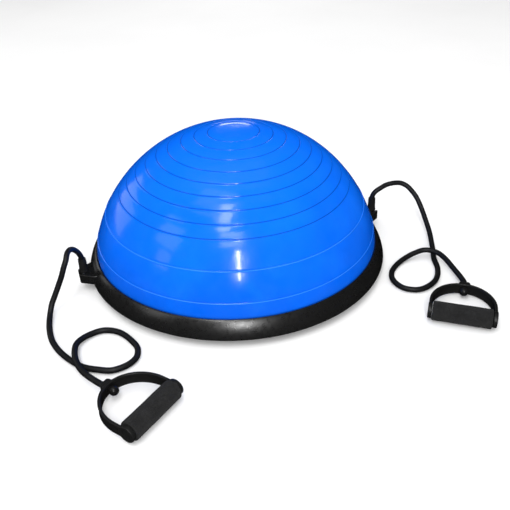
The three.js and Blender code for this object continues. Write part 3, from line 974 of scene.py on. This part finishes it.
def foot_profile():
    """A foot: three ridges in its tread, a rolled edge and a flat top."""
    radius, top, groove_z = 13 * MM, 4.7 * MM, 0.6 * MM
    tread = [(0, groove_z)]
    for ring in (3 * MM, 6 * MM, 9 * MM):
        tread += [(ring - 0.9 * MM, groove_z), (ring - 0.5 * MM, 0)]
        tread += [(ring + 0.5 * MM, 0), (ring + 0.9 * MM, groove_z)]
    edge = [(10.6 * MM, groove_z), (11 * MM, 0), (12.2 * MM, 0), (12.8 * MM, 0.4 * MM)]
    return [*tread, *edge, (radius, 1.2 * MM), (radius, top), (0, top)]


def screw():
    """A pan-head screw with a cross recess."""
    face_z, seat_z, shank, widest = 13.4 * MM, 16.7 * MM, 2 * MM, 4.2 * MM
    corners = [(0, face_z), (3.4 * MM, face_z), (widest, 14.8 * MM), (widest, seat_z), (shank, seat_z)]
    head = rounded(corners, 0.7 * MM)
    body = lathe("screw", [*head, (shank, 35 * MM), (0, 36 * MM)], 32)
    slots = []
    for x, y in ((2.2, 0.4), (0.4, 2.2)):
        bar = bmesh.new()
        bmesh.ops.create_cube(bar, size=2)
        bmesh.ops.scale(bar, vec=(x * MM, y * MM, 1.4 * MM), verts=bar.verts)
        bmesh.ops.translate(bar, vec=(0, 0, face_z), verts=bar.verts)
        mesh = bpy.data.meshes.new("bar")
        bar.to_mesh(mesh)
        bar.free()
        piece = bpy.data.objects.new("bar", mesh)
        bpy.context.scene.collection.objects.link(piece)
        slots.append(piece)
    cut(body, slots)
    return body


def valve_seat():
    """The valve's collar: a neck down into the well and a flange on the membrane."""
    bore, neck, flange = 5.2 * MM, 10 * MM, 18 * MM
    mouth, shoulder = 14 * MM, 26.1 * MM
    top = shoulder + 1.7 * MM
    corners = [(bore, mouth), (neck, mouth), (neck, shoulder)]
    corners += [(flange, shoulder), (flange, top), (bore, top)]
    return lathe("valve_collar", rounded(corners, 0.6 * MM, 4), 64, loop=True)


def valve_plug():
    """The valve's plug: a dished head and a chamfered stem."""
    head, low, stem, top = 9.5 * MM, 10.7 * MM, 4.9 * MM, 26.5 * MM
    dish = [(0, low + 0.9 * MM), (5.5 * MM, low + 0.9 * MM), (6.5 * MM, low)]
    outer = [(head - 0.6 * MM, low), (head, low + 0.8 * MM), (head, low + 3 * MM), (stem, low + 3 * MM)]
    stem_profile = [(stem, top - 2 * MM), (stem - 1.5 * MM, top), (0, top)]
    return lathe("valve_stopper", [*dish, *outer, *stem_profile], 64)


fit(platform(), TRAY_PLASTIC, "base", "platform_plastic", "platform_tray")
seat = shifted(valve_seat(), y=VALVE_Y)
fit(seat, PALE_VALVE, "base", "valve_plastic", "valve_seat")
plug = shifted(valve_plug(), y=VALVE_Y)
fit(plug, PALE_VALVE, "plug", "valve_plastic", "valve_plug")
frame["nodes"]["bottom_membrane"].data.materials.clear()
frame["nodes"]["bottom_membrane"].data.materials.append(MEMBRANE_SHEET)

foot = lathe("foot", foot_profile(), 48)
pan_head = screw()
for i in range(8):
    x, y = polar(FOOT_CIRCLE, 45 * i)
    pad = place_shared(f"foot_pad_{i + 1}", foot.data, Matrix.Translation((x, y, 0)))
    fit(pad, FOOT_RUBBER, "base", "foot_rubber", f"foot_{i + 1}")
    x, y = polar(SCREW_CIRCLE, 22.5 + 45 * i)
    head = place_shared(f"pan_screw_{i + 1}", pan_head.data, Matrix.Translation((x, y, 0)))
    fit(head, ZINC_STEEL, "base", "screw_steel", f"ring_screw_{i + 1}")
bpy.data.objects.remove(foot)
bpy.data.objects.remove(pan_head)


# ---- the studio ----

def floor():
    """Plain pale paper under the object."""
    paper, paler = (0.93, 0.93, 0.93), (0.95, 0.95, 0.95)
    paint = Paint("floor_paper", paper, Roughness=0.9, Specular_IOR_Level=0.1)
    tone = paint.ranged(paint.noise(3, 2), 0.3, 0.7, 0.0, 1.0)
    paint.set("Base Color", paint.blend(tone, paper, paler))
    ground = lathe("floor", [(0, 0), (1.0, 0), (14.0, 0)], 64)
    ground.visible_glossy = False
    ground.data.materials.append(paint.material)


def softbox(name, azimuth, elevation, distance, width, height, power, seen=True):
    """A panel of light that faces the dome from this direction."""
    lamp = bpy.data.lights.new(name, "AREA")
    lamp.shape = "RECTANGLE"
    lamp.size, lamp.size_y, lamp.energy = width, height, power
    panel = bpy.data.objects.new(name, lamp)
    bpy.context.scene.collection.objects.link(panel)
    away = direction(azimuth, elevation)
    panel.location = Vector((0, 0, 0.12)) + distance * away
    panel.rotation_mode = "QUATERNION"
    panel.rotation_quaternion = (-away).to_track_quat("-Z", "Y")
    panel.visible_glossy = seen


def world():
    """An even white surround that doesn't show in reflections."""
    studio = bpy.data.worlds.new("studio")
    studio.use_nodes = True
    background = studio.node_tree.nodes["Background"]
    background.inputs["Color"].default_value = (1, 1, 1, 1)
    background.inputs["Strength"].default_value = 0.66
    studio.cycles_visibility.glossy = False
    bpy.context.scene.world = studio


world()
floor()
softbox("overhead", 80, 78, 3.2, 4.0, 4.0, 34, seen=False)
softbox("strip", -106.5, 26.5, 2.4, 0.06, 0.95, 20)
softbox("key", -123, 61, 2.6, 0.40, 0.85, 11)
softbox("tail", -113, 46, 2.6, 0.75, 0.40, 6)
softbox("left_fill", -168.6, 18, 2.6, 0.5, 0.5, 1.3)
softbox("left_tail", -173, 34, 2.6, 0.9, 0.7, 3)
softbox("left_sheet", -150, 69, 2.8, 1.4, 1.0, 4)
softbox("top", 90, 84, 3.0, 2.6, 1.6, 3)
softbox("back_left", 130, 9, 3.2, 1.6, 1.0, 5)
softbox("back", 72, 14, 3.0, 0.5, 0.3, 2)
softbox("right_fill", -11, 20, 3.0, 0.6, 1.0, 5, seen=False)
bpy.context.scene.view_settings.view_transform = "Standard"
